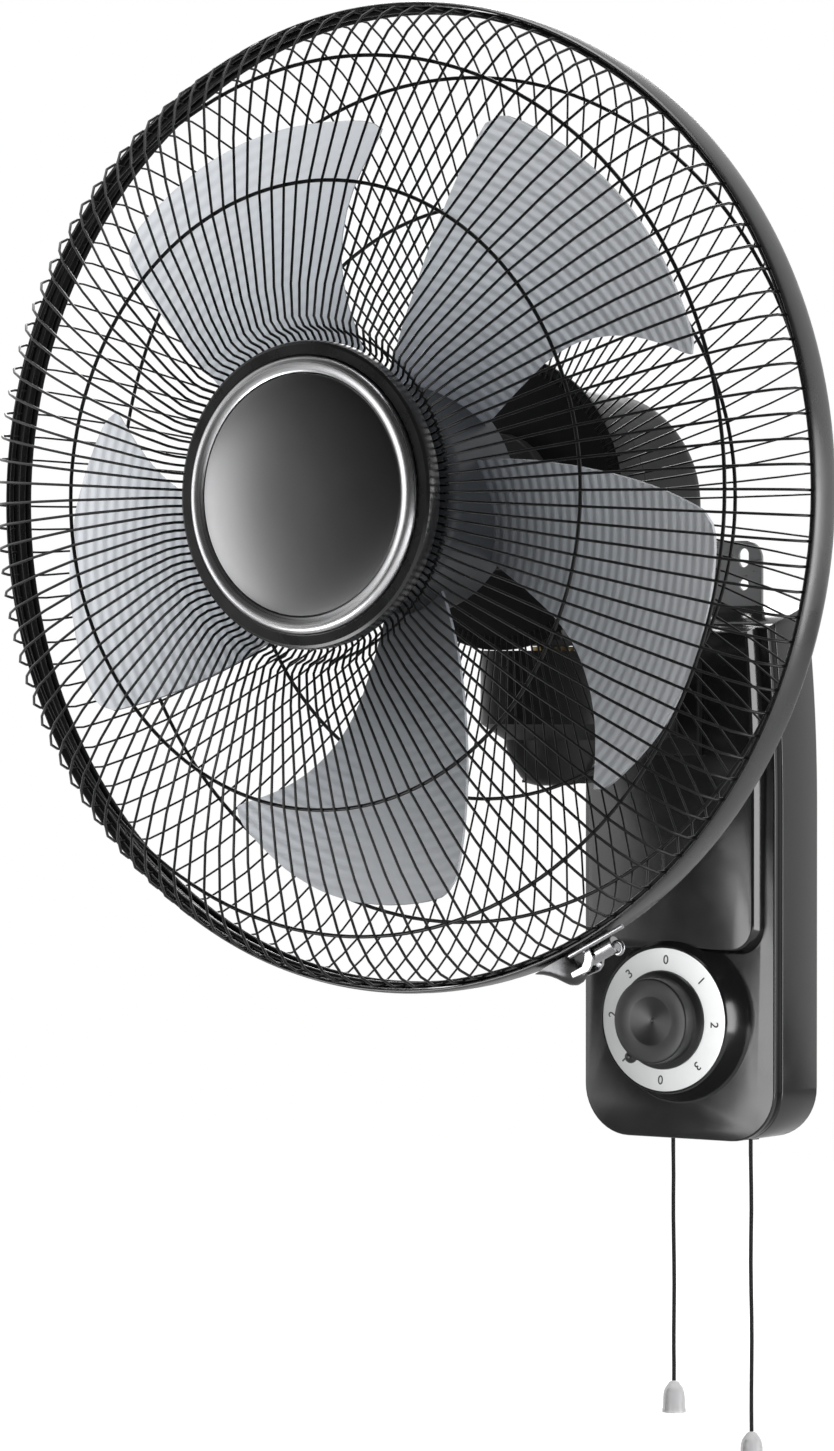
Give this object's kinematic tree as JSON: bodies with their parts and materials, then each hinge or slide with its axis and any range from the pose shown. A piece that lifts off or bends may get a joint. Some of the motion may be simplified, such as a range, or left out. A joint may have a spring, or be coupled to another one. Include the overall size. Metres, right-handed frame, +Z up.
{
  "type": "wall mounted fan",
  "caption": "Wall mounted fan with a slim black case, tilting neck, swinging motor head, round wire guard, translucent blades, speed dial and hanging pull cords.",
  "frame": {"origin": "on the wall plate's back face, on the case's middle line and at its mid height", "axes": "+Z up, +Y into the wall, the fan blows towards -Y, +X to the right as seen from the front"},
  "size_m": [0.4306, 0.3456, 0.6648],
  "materials": {
    "case_black": "gloss",
    "neck_black": "gloss",
    "matte_black": "matte",
    "motor_black": "satin",
    "wire_black": "gloss",
    "band_black": "gloss",
    "badge_dark": "gloss",
    "satin_silver": "satin",
    "zinc_steel": "satin",
    "laminated_steel": "satin",
    "blade_tint": "translucent gloss",
    "dial_face": "satin",
    "knob_black": "gloss",
    "white_plastic": "satin",
    "brass": "satin",
    "cord_black": "braided",
    "clear_bell": "translucent"
  },
  "bodies": {
    "wall_unit": {"wall_plate": "zinc_steel", "rear_housing": "case_black", "front_cover": "case_black", "cover_screw_1": "zinc_steel", "cover_screw_2": "zinc_steel", "cover_screw_3": "zinc_steel", "cover_screw_4": "zinc_steel", "dial_ring": "dial_face", "speed_switch": "matte_black", "speed_eyelet": "matte_black", "speed_pull_switch": "matte_black", "swing_eyelet": "matte_black", "swing_pull_switch": "matte_black", "run_capacitor": "white_plastic", "terminal_block": "white_plastic", "inlet_grommet": "matte_black", "tilt_bracket": "neck_black"},
    "neck": {"neck_arm": "neck_black", "tilt_bolt": "zinc_steel", "tilt_nut": "zinc_steel", "swivel_bush": "brass", "link_pin": "zinc_steel"},
    "head": {"swivel_bracket": "matte_black", "motor_front_cover": "motor_black", "motor_rear_cover": "motor_black", "stator": "laminated_steel", "front_bearing": "zinc_steel", "rear_bearing": "zinc_steel", "rear_endshield": "laminated_steel", "gear_case": "matte_black", "rear_guard": "wire_black", "front_guard": "wire_black", "guard_nut": "matte_black", "rim_band": "band_black", "rim_latch": "matte_black", "latch_screw": "satin_silver", "badge_base": "band_black", "badge_ring": "satin_silver", "badge_disc": "badge_dark"},
    "rotor": {"motor_shaft": "zinc_steel", "rotor_core": "laminated_steel", "blade_rotor": "blade_tint", "blade_nut": "matte_black"},
    "crank": {"crank_gear": "brass", "swing_crank": "zinc_steel"},
    "link": {"swing_link": "zinc_steel"},
    "knob": {"speed_knob": "knob_black", "knob_spindle": "zinc_steel"},
    "speed_pull": {"speed_stem": "white_plastic", "speed_cord": "cord_black", "speed_bell": "clear_bell"},
    "swing_pull": {"swing_stem": "white_plastic", "swing_cord": "cord_black", "swing_bell": "clear_bell"}
  },
  "joints": [
    {"name": "tilt", "type": "hinge", "parent": "wall_unit", "child": "neck", "pos_m": [0, -0.085, 0.077], "axis": [1, 0, 0], "range_deg": [-15, 30]},
    {"name": "head_swing", "type": "hinge", "parent": "neck", "child": "head", "pos_m": [0, -0.148, 0.085], "axis": [0, 0, 1], "range_deg": [-40, 40]},
    {"name": "rotor_spin", "type": "hinge", "parent": "head", "child": "rotor", "pos_m": [0, -0.268, 0.1701], "axis": [0, 1, 0], "continuous": true},
    {"name": "crank_turn", "type": "hinge", "parent": "head", "child": "crank", "pos_m": [-0.014, -0.111, 0.14], "axis": [0, 0, 1], "continuous": true},
    {"name": "link_turn", "type": "hinge", "parent": "neck", "child": "link", "pos_m": [0.026, -0.144, 0.1065], "axis": [0, 0, 1], "range_deg": [-28, 28]},
    {"name": "knob_turn", "type": "hinge", "parent": "wall_unit", "child": "knob", "pos_m": [0, -0.055, -0.0685], "axis": [0, 1, 0], "continuous": true},
    {"name": "speed_pull_slide", "type": "slide", "parent": "wall_unit", "child": "speed_pull", "axis": [0, 0, -1], "range_m": [0, 0.012], "stiffness_N_per_m": 300, "springref_m": -0.002},
    {"name": "swing_pull_slide", "type": "slide", "parent": "wall_unit", "child": "swing_pull", "axis": [0, 0, -1], "range_m": [0, 0.012], "stiffness_N_per_m": 300, "springref_m": -0.002}
  ],
  "couplings": [
    {"joint": "link_turn", "follows": "head_swing", "ratio": 0.68}
  ]
}
